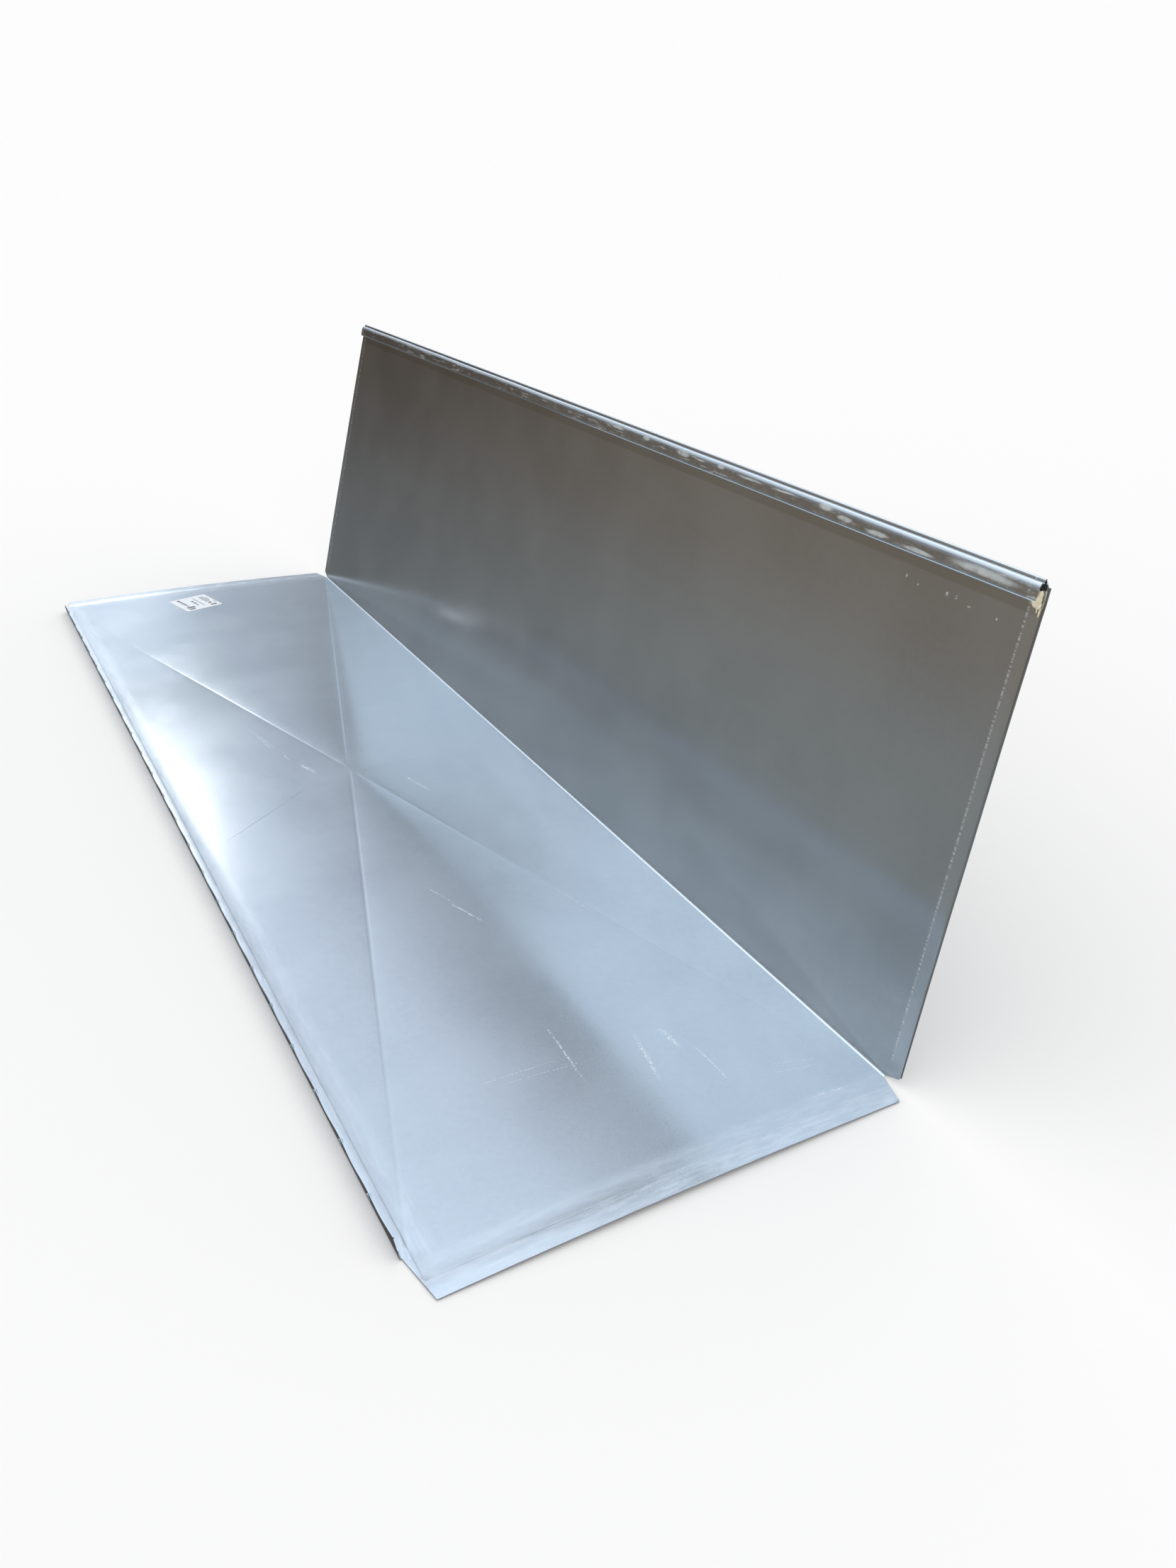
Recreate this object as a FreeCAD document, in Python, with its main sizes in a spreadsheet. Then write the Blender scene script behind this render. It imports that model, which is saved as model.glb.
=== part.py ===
"""Half section of a rectangular galvanised air duct: one sheet folded into a leaning L.

While it is drawn, X runs along the fold from the middle of its length, Y runs across the floor
panel away from the wall, Z is up, and the fold's bend axis is the X axis itself. At the end
everything is shifted so that the origin is the bottom centre of the whole part.
"""

import FreeCAD, Part

import os
import re

import Sketcher

Vector = FreeCAD.Vector

# Driving dimensions, in millimetres and degrees.
SIZES = {
    # The folded sheet
    "gauge": 0.55,  # 26 gauge galvanised sheet
    "body_length": 1206.5,  # length of the fold, 47.5 inches
    "floor_width": 356.2,  # 14 inches inside, plus one gauge
    "wall_rise": 366.1,  # from the bend axis to the top of the lock
    "bend_radius": 1.2,  # inside radius of the fold and of the flange's bend
    "wall_lean": 11.0,  # the L stands open at 101 degrees
    "crown": 2.9,  # rise of the cross-broken floor at its centre
    # Slip tongues: the raw floor ends that push into an S cleat
    "tongue_reach": 24.1,
    "tongue_fold_inset": 7.6,  # taper beside the fold
    "tongue_edge_inset": 6.6,  # taper beside the flange
    # Button-punched flange, the male half of the side lock
    "flange_height": 11.0,
    "flange_lean": 14.0,
    "flange_setback": 11.0,  # from the end of the fold to the end of the flange
    "flange_clip": 6.0,
    "button_pitch": 50.8,
    "button_count": 23,
    "button_start": 57.8,  # first button, from the near end of the fold
    "button_level": 4.6,  # cut edge of a button, above the bend axis
    "button_radius": 3.8,
    "button_rise": 1.6,
    # Drive hems: the wall's ends folded back outwards
    "hem_reach": 13.0,  # past the end of the fold
    "hem_return": 11.5,
    "hem_gap": 1.0,
    "hem_lift": 6.0,
    "wall_clip": 4.2,  # cut corner at each end of the wall's top
    "notch_rise": 4.5,  # slanted edge from the end of the fold to the wall's end
    # Pocket lock along the wall's top, the female half of the side lock
    "lock_height": 16.2,
    "lock_setback": 4.2,  # from the end of the wall
    "lock_gap": 0.5,  # air inside each flattened fold
    "pocket_width": 2.8,
    "lip_drop": 2.7,
    "lip_turn": 3.4,
    # Sealant in the pocket
    "sealant_depth": 5.0,
    "sealant_clear": 0.08,
    "lump_reach": 2.6,  # past the end of the pocket
    "lump_height": 7.0,
    "lump_lift": 0.55,  # above the bottom of the bead
    "lump_lap": 0.275,  # over the edge of the pocket's inner leaf
    # Sticker on the floor panel
    "label_side": 50.8,
    "label_thickness": 0.12,
    "label_clear": 0.02,
    "label_corner": 3.0,
    "label_along": 555.8,
    "label_across": 197.0,
    "label_turn": 15.5,
}

# Lengths that several features share, as expressions of the sizes above.
BEND_OUT = "(bend_radius + gauge)"
FLOOR_FLAT = "(floor_width - 2 * bend_radius - 2 * gauge)"
HALF_BODY = "(body_length / 2)"
HEM_BEND = "(body_length / 2 + hem_reach - hem_gap / 2 - gauge)"
WALL_TOP = "(wall_rise - lock_gap / 2 - gauge)"
LEAF_TWO = "(lock_gap - bend_radius)"
LEAF_THREE = "(lock_gap - bend_radius + gauge + pocket_width)"
POCKET_FLOOR = "(wall_rise - lock_height + pocket_width / 2 + gauge)"
LOCK_HALF = "(body_length / 2 + hem_reach - lock_setback)"
LIP_TOP = "(wall_rise - lip_drop - lock_gap / 2 - gauge)"

doc = FreeCAD.newDocument("duct_half")


def size(text):
    """An expression whose bare names are turned into references to the spreadsheet's cells."""
    return re.sub(r"[a-z_]+", lambda name: f"Sizes.{name[0]}" if name[0] in SIZES else name[0], text)


def make_size_sheet():
    """The spreadsheet of driving dimensions, one named cell each."""
    sheet = doc.addObject("Spreadsheet::Sheet", "Sizes")
    for row, (name, number) in enumerate(SIZES.items(), start=1):
        sheet.set(f"A{row}", name)
        sheet.set(f"B{row}", str(number))
        sheet.setAlias(f"B{row}", name)
    doc.recompute()


def new_body(label):
    """An empty body whose label names its sub-part."""
    body = doc.addObject("PartDesign::Body", label)
    body.Label = label
    return body


def new_sketch(body, name, role, base=("0", "0", "0"), turn="0", about=Vector(1, 0, 0)):
    """A sketch on one of the body's origin planes, moved by base and turned about an axis."""
    sketch = body.newObject("Sketcher::SketchObject", name)
    plane = next(item for item in body.Origin.OriginFeatures if item.Role == role)
    sketch.AttachmentSupport = [(plane, "")]
    sketch.MapMode = "FlatFace"
    sketch.AttachmentOffset = FreeCAD.Placement(Vector(), FreeCAD.Rotation(about, 1))
    for axis, length in zip("xyz", base):
        sketch.setExpression(f"AttachmentOffset.Base.{axis}", size(length))
    sketch.setExpression("AttachmentOffset.Rotation.Angle", size(turn))
    return sketch


def bind(sketch, kind, place, expression):
    """A sketch dimension between the origin and a point, driven by an expression."""
    number = sketch.evalExpression(size(expression))
    index = sketch.addConstraint(Sketcher.Constraint(f"Distance{kind}", -1, 1, *place, float(number)))
    sketch.setExpression(f"Constraints[{index}]", size(expression))


def draw_outline(sketch, corners):
    """A closed outline of (x, y) corners; a corner with a third item starts a half circle.

    The third item is the side the half circle bulges to: "up", "down", "left" or "right".
    """
    points = []
    for corner in corners:
        x, y = (float(sketch.evalExpression(size(text))) for text in corner[:2])
        points.append(Vector(x, y))
    sides = {"up": Vector(0, 1), "down": Vector(0, -1), "left": Vector(-1, 0), "right": Vector(1, 0)}
    edges = []
    for index, corner in enumerate(corners):
        start, end = points[index], points[(index + 1) % len(points)]
        if len(corner) == 2:
            edges.append((sketch.addGeometry(Part.LineSegment(start, end)), 1, 2))
            continue
        peak = (start + end) / 2 + sides[corner[2]] * (end - start).Length / 2
        arc = Part.Arc(start, peak, end)
        clockwise = (peak - start).cross(end - peak).z < 0
        edges.append((sketch.addGeometry(arc), *((2, 1) if clockwise else (1, 2))))
    for index, (edge, first, last) in enumerate(edges):
        following = edges[(index + 1) % len(edges)]
        sketch.addConstraint(Sketcher.Constraint("Coincident", edge, last, following[0], following[1]))
        corner = corners[index]
        bind(sketch, "X", (edge, first), corner[0])
        bind(sketch, "Y", (edge, first), corner[1])
        if len(corner) == 3:
            upright = corner[2] in ("left", "right")
            bind(sketch, "X" if upright else "Y", (edge, 3), corner[0] if upright else corner[1])


def pad(body, sketch, name, length, midplane=False, back=False):
    """A pad of the sketch, along its normal, both ways or against its normal."""
    feature = body.newObject("PartDesign::Pad", name)
    feature.Profile = sketch
    feature.Midplane = midplane
    feature.Reversed = back
    feature.setExpression("Length", size(length))
    doc.recompute()
    return feature


def turn(body, sketch, name, angle, axis="H_Axis", back=False):
    """A revolution of the sketch about one of its own axes."""
    feature = body.newObject("PartDesign::Revolution", name)
    feature.Profile = sketch
    feature.ReferenceAxis = (sketch, [axis])
    feature.Reversed = back
    feature.setExpression("Angle", size(angle))
    doc.recompute()
    return feature


def make_floor(body):
    """The floor panel with its two tapered slip tongues, then the cross-break's shallow pyramid."""
    outline = new_sketch(body, "floor_outline", "XY_Plane", ("0", "0", f"-{BEND_OUT}"))
    half = [
        (HALF_BODY, "0"),
        (f"{HALF_BODY} + tongue_reach", "tongue_fold_inset"),
        (f"{HALF_BODY} + tongue_reach", f"{FLOOR_FLAT} - tongue_edge_inset"),
        (f"{HALF_BODY} - flange_setback", FLOOR_FLAT),
    ]
    other_half = [(f"-({x})", y) for x, y in reversed(half)]
    draw_outline(outline, half + other_half)
    pad(body, outline, "floor_panel", "gauge")
    for kind, name, base in (
        ("Additive", "crown_top", f"gauge - {BEND_OUT}"),
        ("Subtractive", "crown_hollow", f"-{BEND_OUT}"),
    ):
        pyramid = body.newObject(f"PartDesign::{kind}Wedge", name)
        plane = next(item for item in body.Origin.OriginFeatures if item.Role == "XZ_Plane")
        pyramid.AttachmentSupport = [(plane, "")]
        pyramid.MapMode = "FlatFace"
        pyramid.setExpression("AttachmentOffset.Base.y", size(base))
        pyramid.setExpression("AttachmentOffset.Base.z", size(f"-{FLOOR_FLAT}"))
        for low, high, reach in (
            ("Xmin", "Xmax", HALF_BODY),
            ("X2min", "X2max", "0"),
        ):
            pyramid.setExpression(low, size(f"-{reach}"))
            pyramid.setExpression(high, size(reach))
        pyramid.setExpression("Ymin", "0")
        pyramid.setExpression("Ymax", size("crown"))
        pyramid.setExpression("Zmin", "0")
        pyramid.setExpression("Zmax", size(FLOOR_FLAT))
        pyramid.setExpression("Z2min", size(f"{FLOOR_FLAT} / 2"))
        pyramid.setExpression("Z2max", size(f"{FLOOR_FLAT} / 2"))
        doc.recompute()


def make_wall(body):
    """The fold and the plain wall, whose ends stand out past the fold above a small notch."""
    strip = new_sketch(body, "fold_strip", "XZ_Plane")
    draw_outline(strip, [
        (f"-{HALF_BODY}", f"-{BEND_OUT}"),
        (HALF_BODY, f"-{BEND_OUT}"),
        (HALF_BODY, "-bend_radius"),
        (f"-{HALF_BODY}", "-bend_radius"),
    ])
    turn(body, strip, "fold", "90 - wall_lean", back=True)
    face = ("0", "-bend_radius * sin(wall_lean)", "bend_radius * cos(wall_lean)")
    outline = new_sketch(body, "wall_outline", "XZ_Plane", face, "wall_lean")
    half = [
        (HALF_BODY, "0"),
        (HEM_BEND, "notch_rise"),
        (HEM_BEND, f"{WALL_TOP} - wall_clip"),
        (f"{HALF_BODY} + hem_reach - lock_setback", WALL_TOP),
    ]
    other_half = [(f"-({x})", y) for x, y in reversed(half)]
    draw_outline(outline, half + other_half)
    pad(body, outline, "wall_panel", "gauge")


def make_hems(body):
    """The drive hem at each end of the wall: a flattened fold back along its outer face."""
    foot = ("0", "-hem_lift * sin(wall_lean)", "hem_lift * cos(wall_lean)")
    section = new_sketch(body, "hem_section", "XY_Plane", foot, "wall_lean")
    near_side = f"-{BEND_OUT} - hem_gap"
    draw_outline(section, [
        (HEM_BEND, f"{near_side} - gauge", "right"),
        (HEM_BEND, "-bend_radius"),
        (HEM_BEND, f"-{BEND_OUT}", "right"),
        (HEM_BEND, near_side),
        (f"{HEM_BEND} - hem_return", near_side),
        (f"{HEM_BEND} - hem_return", f"{near_side} - gauge"),
    ])
    near_hem = pad(body, section, "near_hem", f"{WALL_TOP} - wall_clip - hem_lift")
    both = body.newObject("PartDesign::Mirrored", "hems")
    both.Originals = [near_hem]
    both.MirrorPlane = (next(item for item in body.Origin.OriginFeatures if item.Role == "YZ_Plane"), [""])
    body.Tip = both
    doc.recompute()


def make_lock(body):
    """The pocket lock: over the wall's top edge, down, up again, and a lip turned into the pocket."""
    section = new_sketch(body, "lock_section", "YZ_Plane", turn="wall_lean", about=Vector(0, 0, 1))
    leaf_two_in = f"{LEAF_TWO} + gauge"
    leaf_three_in = f"{LEAF_THREE} + gauge"
    lip_in = f"{LEAF_THREE} - lock_gap"
    lip_out = f"{lip_in} - gauge"
    lip_end = f"{LIP_TOP} - lip_turn"
    draw_outline(section, [
        (f"-{BEND_OUT}", WALL_TOP, "up"),
        (leaf_two_in, WALL_TOP),
        (leaf_two_in, POCKET_FLOOR, "down"),
        (LEAF_THREE, POCKET_FLOOR),
        (LEAF_THREE, LIP_TOP, "up"),
        (lip_in, LIP_TOP),
        (lip_in, lip_end),
        (lip_out, lip_end),
        (lip_out, LIP_TOP, "up"),
        (leaf_three_in, LIP_TOP),
        (leaf_three_in, POCKET_FLOOR, "down"),
        (LEAF_TWO, POCKET_FLOOR),
        (LEAF_TWO, WALL_TOP, "up"),
        ("-bend_radius", WALL_TOP),
    ])
    pad(body, section, "pocket_lock", f"2 * ({LOCK_HALF})", midplane=True)


def make_flange(body):
    """The flange along the floor's free edge, with its row of punched half-moon buttons."""
    strip = new_sketch(body, "flange_strip", "XZ_Plane", ("0", "0", f"-{FLOOR_FLAT}"))
    half_length = f"{HALF_BODY} - flange_setback"
    draw_outline(strip, [
        (f"-({half_length})", f"-{BEND_OUT}"),
        (half_length, f"-{BEND_OUT}"),
        (half_length, "-bend_radius"),
        (f"-({half_length})", "-bend_radius"),
    ])
    turn(body, strip, "flange_bend", "90 - flange_lean")
    inner_face = (
        "0",
        "-bend_radius * sin(flange_lean)",
        f"-{FLOOR_FLAT} - bend_radius * cos(flange_lean)",
    )
    outline = new_sketch(body, "flange_outline", "XZ_Plane", inner_face, "-flange_lean")
    half = [
        (half_length, "0"),
        (half_length, "flange_height - flange_clip"),
        (f"{half_length} - flange_clip", "flange_height"),
    ]
    other_half = [(f"-({x})", y) for x, y in reversed(half)]
    draw_outline(outline, half + other_half)
    pad(body, outline, "flange", "gauge", back=True)
    first = f"button_start - {HALF_BODY}"
    moon = new_sketch(body, "button_moon", "XZ_Plane", inner_face, "-flange_lean")
    draw_outline(moon, [
        (f"{first} - button_radius", "button_level", "up"),
        (f"{first} + button_radius", "button_level"),
    ])
    hole = body.newObject("PartDesign::Pocket", "button_hole")
    hole.Profile = moon
    hole.setExpression("Length", size("2 * gauge"))
    doc.recompute()
    centre = (
        first,
        f"{FLOOR_FLAT} + bend_radius * cos(flange_lean) + button_level * sin(flange_lean)",
        "button_level * cos(flange_lean) - bend_radius * sin(flange_lean)",
    )
    profile = new_sketch(body, "button_profile", "XY_Plane", centre, "180 - flange_lean")
    draw_outline(profile, [
        ("button_radius", "-gauge"),
        ("button_radius", "0"),
        ("button_radius / 2", "button_rise"),
        ("0", "button_rise"),
        ("0", "button_rise - gauge"),
        ("button_radius / 2 - gauge / 2", "button_rise - gauge"),
        ("button_radius - gauge", "-gauge"),
    ])
    dome = turn(body, profile, "button_dome", "180", axis="V_Axis")
    row = body.newObject("PartDesign::LinearPattern", "buttons")
    row.Originals = [hole, dome]
    row.Direction = (moon, ["H_Axis"])
    row.setExpression("Length", size("(button_count - 1) * button_pitch"))
    row.setExpression("Occurrences", size("button_count"))
    body.Tip = row
    doc.recompute()


def make_duct_sheet():
    """The formed sheet: floor, fold, wall, hems, pocket lock and buttoned flange in one piece."""
    body = new_body("duct_sheet")
    make_floor(body)
    make_wall(body)
    make_hems(body)
    make_lock(body)
    make_flange(body)
    return body


def make_seam_sealant():
    """The bead of sealant in the bottom of the pocket, with the lump at its near end."""
    body = new_body("seam_sealant")
    bead = new_sketch(body, "bead_section", "YZ_Plane", turn="wall_lean", about=Vector(0, 0, 1))
    outer_side = f"{LEAF_TWO} + gauge + sealant_clear"
    inner_side = f"{LEAF_THREE} - sealant_clear"
    draw_outline(bead, [
        (outer_side, POCKET_FLOOR, "down"),
        (inner_side, POCKET_FLOOR),
        (inner_side, f"{POCKET_FLOOR} + sealant_depth"),
        (outer_side, f"{POCKET_FLOOR} + sealant_depth"),
    ])
    pad(body, bead, "bead", f"2 * ({LOCK_HALF})", midplane=True)
    end = ("0", "0", f"-({LOCK_HALF})")
    lump = new_sketch(body, "lump_section", "YZ_Plane", end, "wall_lean", Vector(0, 0, 1))
    wall_side = "sealant_clear - bend_radius"
    open_side = f"{LEAF_THREE} + lump_lap"
    lump_bottom = f"{POCKET_FLOOR} + lump_lift"
    draw_outline(lump, [
        (wall_side, lump_bottom, "down"),
        (open_side, lump_bottom),
        (open_side, f"{lump_bottom} + lump_height", "up"),
        (wall_side, f"{lump_bottom} + lump_height"),
    ])
    pad(body, lump, "end_lump", "lump_reach", back=True)
    return body


def make_size_label():
    """The square paper sticker that lies on the far facet of the floor panel."""
    body = new_body("size_label")
    outline = new_sketch(body, "label_outline", "XY_Plane", turn="label_turn", about=Vector(0, 0, 1))
    draw_outline(outline, [
        ("-label_side / 2", "-label_side / 2"),
        ("label_side / 2", "-label_side / 2"),
        ("label_side / 2", "label_side / 2"),
        ("-label_side / 2", "label_side / 2"),
    ])
    blank = pad(body, outline, "label_blank", "label_thickness")
    corners = body.newObject("PartDesign::Fillet", "label_corners")
    upright = [
        f"Edge{number}"
        for number, edge in enumerate(blank.Shape.Edges, start=1)
        if edge.BoundBox.ZLength > SIZES["label_thickness"] / 2
    ]
    corners.Base = (blank, upright)
    corners.setExpression("Radius", size("label_corner"))
    doc.recompute()
    return body


def place(body, base=("0", "0", "0"), tilt=None):
    """Stand the body in the part's frame, whose origin is the bottom centre of the whole part."""
    front = f"{FLOOR_FLAT} + {BEND_OUT} * cos(flange_lean) + flange_height * sin(flange_lean)"
    back = f"({BEND_OUT} + hem_gap + gauge) * cos(wall_lean) + ({WALL_TOP} - wall_clip) * sin(wall_lean)"
    body.Placement = FreeCAD.Placement(Vector(), FreeCAD.Rotation(Vector(0, 1, 0), 1 if tilt else 0))
    body.setExpression("Placement.Base.x", size(base[0]))
    body.setExpression("Placement.Base.y", size(f"{base[1]} - ({front} - ({back})) / 2"))
    body.setExpression("Placement.Base.z", size(f"{base[2]} + {BEND_OUT}"))
    if tilt:
        body.setExpression("Placement.Rotation.Angle", size(tilt))


def check(bodies):
    """Stop if any object failed, or any sub-part is not one valid solid."""
    for item in doc.Objects:
        if {"Invalid", "Error"} & set(item.State):
            raise RuntimeError(f"{item.Name} failed: {item.State}")
    for body in bodies:
        if body.Shape.isNull() or not body.Shape.isValid() or len(body.Shape.Solids) != 1:
            raise RuntimeError(f"{body.Label} is not one valid solid")


make_size_sheet()
duct_sheet = make_duct_sheet()
seam_sealant = make_seam_sealant()
size_label = make_size_label()

place(duct_sheet)
place(seam_sealant)
label_height = f"gauge - {BEND_OUT} + crown * (1 - label_along / {HALF_BODY}) + label_clear"
place(size_label, ("label_along", "label_across", label_height), f"atan(crown / {HALF_BODY})")
doc.recompute()

bodies = [duct_sheet, seam_sealant, size_label]
check(bodies)
os.makedirs("parts", exist_ok=True)
for body in bodies:
    body.Shape.exportStep(f"parts/{body.Label}.step")
    box = body.Shape.BoundBox
    limits = (box.XMin, box.XMax, box.YMin, box.YMax, box.ZMin, box.ZMax)
    print(body.Label, round(body.Shape.Volume, 1), [round(limit, 2) for limit in limits])
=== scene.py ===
"""Looks of a galvanised air duct half: the formed sheet, its seam sealant and its size label.

The sheet is drawn as the flat blank it was cut from and folded up from there. Lengths are in
millimetres in the part's own working frame: X along the fold from its middle, Y across the floor
panel from the fold's bend axis, Z up. to_row() turns them into metres in the row frame.
"""

import math

import bmesh
import bpy
from mathutils import Euler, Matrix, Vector, noise
from mathutils.geometry import delaunay_2d_cdt


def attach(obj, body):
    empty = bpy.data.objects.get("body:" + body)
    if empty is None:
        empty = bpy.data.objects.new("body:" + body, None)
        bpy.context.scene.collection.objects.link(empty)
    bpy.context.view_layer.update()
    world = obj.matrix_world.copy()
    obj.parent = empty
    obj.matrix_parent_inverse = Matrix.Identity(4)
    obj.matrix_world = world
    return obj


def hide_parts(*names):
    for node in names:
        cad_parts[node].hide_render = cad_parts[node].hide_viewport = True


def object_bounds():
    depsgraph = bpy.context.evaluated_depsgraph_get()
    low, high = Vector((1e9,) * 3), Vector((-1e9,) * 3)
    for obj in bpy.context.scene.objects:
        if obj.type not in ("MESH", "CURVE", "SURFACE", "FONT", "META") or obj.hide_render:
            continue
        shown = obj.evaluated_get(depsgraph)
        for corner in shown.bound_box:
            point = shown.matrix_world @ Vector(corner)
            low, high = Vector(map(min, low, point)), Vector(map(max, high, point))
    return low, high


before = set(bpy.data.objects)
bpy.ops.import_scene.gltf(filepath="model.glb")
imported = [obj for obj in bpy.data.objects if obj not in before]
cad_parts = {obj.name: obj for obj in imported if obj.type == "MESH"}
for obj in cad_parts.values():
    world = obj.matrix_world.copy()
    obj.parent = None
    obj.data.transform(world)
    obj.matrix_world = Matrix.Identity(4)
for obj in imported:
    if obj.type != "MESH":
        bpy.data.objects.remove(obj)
cad_low, cad_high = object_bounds()

# Sizes shared with the CAD part
GAUGE = 0.55
BEND = 1.475  # radius of the sheet's middle in the fold and in the flange's bend
BEND_OUTER = 1.75  # radius of the sheet's outer face there
HALF = 603.25  # half the length of the fold
FLAT = 352.7
LEAN = math.radians(11.0)
FLANGE_LEAN = math.radians(14.0)
TONGUE = 24.1
TONGUE_FOLD_INSET = 7.6
TONGUE_EDGE_INSET = 6.6
FLANGE_SETBACK = 11.0
FLANGE_HEIGHT = 11.0
FLANGE_CLIP = 6.0
BUTTON_START = 57.8
BUTTON_PITCH = 50.8
BUTTON_COUNT = 23
BUTTON_LEVEL = 4.6
BUTTON_RADIUS = 3.8
BUTTON_RISE = 1.3
CROWN = 2.9
HEM_X = 615.2
HEM_RADIUS = 0.775
HEM_LOW = 6.0
HEM_HIGH = 361.1
HEM_RETURN = 11.5
NOTCH_RISE = 4.5
WALL_TOP = 365.3
LOCK_HALF = 612.05
FOLD_RADIUS = 0.525
POCKET_RADIUS = 1.675
POCKET_FLOOR = 351.85
# Place of the pocket's leaves inwards from the fold's axis: outer, inner and turned-down lip
LEAF_TWO = -0.425
LEAF_THREE = 2.925
LIP_LEAF = 1.875
LIP_TOP = 362.6
LIP_END = 359.2

ROLL_LINE = 347.3  # pressed line along the flange side
FLANGE_FOOT = 353  # where the frosted strip beside it ends on the blank
PAST_END = 700  # further along the blank than any of it reaches
TONGUE_LINE = HALF + 9.4  # pressed line across each tongue

# Small unevenness of the real sheet
ROLL_STEP = 0.16
TONGUE_STEP = 0.22
CREASE_DIP = 0.24  # broad valley along each crease
CREASE_DIP_REACH = 30
CREASE_BEAD = 0.09  # narrow pressed groove in its middle
CREASE_BEAD_HALF = 1.1
WALL_BOW = 0.5
RIDGE_RISE = 0.16  # soft ridge along the wall, which falls towards the far end and fades out there
RIDGE_NEAR_END = -582
RIDGE_NEAR_HEIGHT = 131
RIDGE_FALL = 0.086
RIDGE_HALF = 20
LOCK_KICK = -0.14  # outward set of the wall just under the lock

# Marks on the inner face: start and end on the flat blank and width, in millimetres
PALE_SCRATCHES = (
    ((139, 240), (59, 231), 1.3),
    ((128, 237), (66, 228), 0.8),
    ((62, 226), (40, 224), 1.6),
    ((35, 219), (2, 208), 5.0),
    ((-30, 134), (-83, 119), 4.0),
    ((-235, 194), (-275, 180), 1.2),
    ((-268, 186), (-312, 169), 2.6),
    ((-280, 96), (-342, 79), 2.2),
    ((-479, 133), (-544, 145), 4.5),
    ((-483, 115), (-519, 112), 6.0),
    ((-509, 102), (-565, 101), 2.0),
    ((-442, 187), (-523, 190), 2.0),
    ((-483, 264), (-486, 194), 0.8),
    ((-490, 250), (-497, 170), 0.6),
    ((-562, 85), (-574, 26), 0.9),
    ((-556, 73), (-568, 22), 0.7),
    ((-597, 66), (-600, 24), 3.5),
)
DARK_SCRATCHES = (
    ((-95, 333), (-35, 246), 0.7),
    ((-40, 252), (-20, 228), 0.5),
)
# Pale smears on the lock: middle along the fold and up the wall, and half sizes, in millimetres
LOCK_SMEARS = (
    ((-92, 359.4), (15, 1.8)),
    ((-144, 359.0), (8, 2.8)),
    ((-206, 358.8), (13, 3.4)),
    ((-232, 358.0), (10, 1.0)),
    ((-264, 358.8), (7, 2.4)),
    ((-306, 358.2), (22, 1.2)),
    ((-352, 358.4), (21, 1.1)),
    ((-403, 359.0), (11, 3.4)),
    ((-426, 355.8), (11, 2.8)),
    ((-462, 354.6), (16, 2.4)),
    ((-505, 353.4), (20, 2.0)),
    ((-566, 356.4), (38, 3.6)),
)
WALL_DABS = (
    ((-497, 334), (1.2, 2.0)),
    ((-510, 331), (1.4, 1.6)),
    ((-537, 333), (2.2, 2.6)),
    ((-546, 333), (1.5, 2.2)),
    ((-558, 330), (2.4, 1.2)),
    ((-583, 330), (1.3, 1.4)),
)

# Label: generic bars as first and last cell along its two sides, in fiftieths of a side
LABEL_SIDE = 50.8
LABEL_CORNER = 3.0
LABEL_CENTRE = Vector((555.8, 197.0))
LABEL_TURN = math.radians(15.5)
LABEL_CELLS = 50
LABEL_BARS = [
    (41, 46, 38, 42),
    (35, 40, 38, 41),
    (29, 33, 38, 42),
    (23, 28, 38, 41),
    (18, 21, 38, 41),
    (10, 15, 33, 44),
    (4, 8, 36, 44),
    (29, 34, 25, 28),
    (22, 27, 25, 28),
    (15, 20, 26, 28),
    (9, 43, 20, 21),
    (13, 18, 8, 12),
    (5, 9, 5, 13),
    (27, 37, 4, 5),
    (11, 22, 2, 3),
    (3, 4, 2, 3),
]
LABEL_BARS += [(21 + 2 * k, 22 + 2 * k, 6, 13) for k in range(11)]

# Lumps of sealant at the near end: X from the lock's end, n, v and half sizes, in millimetres
SEALANT_LUMPS = (
    ((1.0, 1.15, 351.6), (3.4, 2.1, 4.6)),
    ((-0.4, 0.9, 355.6), (2.0, 1.5, 2.8)),
    ((-0.6, 0.2, 348.8), (1.8, 1.4, 3.0)),
    ((-1.6, -1.1, 344.5), (0.7, 0.5, 3.4)),
    ((0.6, -1.1, 345.5), (0.6, 0.5, 2.2)),
)

# Stage, camera and what the metal mirrors
FLOOR_TONE = 0.93  # of the pale stage
STAGE_REACH = 60.0
STAGE_DROP = 0.0004
EVEN_LIGHT = 1.05
CAMERA_LENS = 29.18
CAMERA_SHIFT = (-0.0216, -0.1066)
CAMERA_PLACE = (-1.1209, 0.4110, 0.5951)
CAMERA_TURN = (70.195, -2.745, -120.664)
# Each patch: azimuth, elevation, full within and gone beyond, in degrees, and its colour
SKY_PATCHES = (
    (13.5, 29.5, 1.5, 5, (0.94, 1.18, 1.42)),
    (9.4, 37.4, 1.5, 5.8, (0.50, 0.585, 0.69)),
)
LOW_PATCHES = (
    (-6, 16.8, 4.2, 7, (0.95, 1.12, 1.33)),
    (-22, 38, 5, 14, (0.80, 0.93, 1.12)),
)
LAMP_PATCHES = ((-7.8, 28.9, 2.4, 3.3, (4.4, 4.55, 4.7)),)

FLANGE_FRONT = FLAT + BEND_OUTER * math.cos(FLANGE_LEAN) + FLANGE_HEIGHT * math.sin(FLANGE_LEAN)
FOLD_Y = cad_high.y * 1000 - FLANGE_FRONT
FOLD_Z = cad_low.z * 1000 + BEND_OUTER


def to_row(x, y, z):
    """A point of the working frame, in metres in the row frame."""
    return Vector((x, y + FOLD_Y, z + FOLD_Z)) / 1000


def smooth(low, high, value):
    """Smooth step from 0 at low to 1 at high."""
    t = min(max((value - low) / (high - low), 0.0), 1.0)
    return t * t * (3 - 2 * t)


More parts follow.
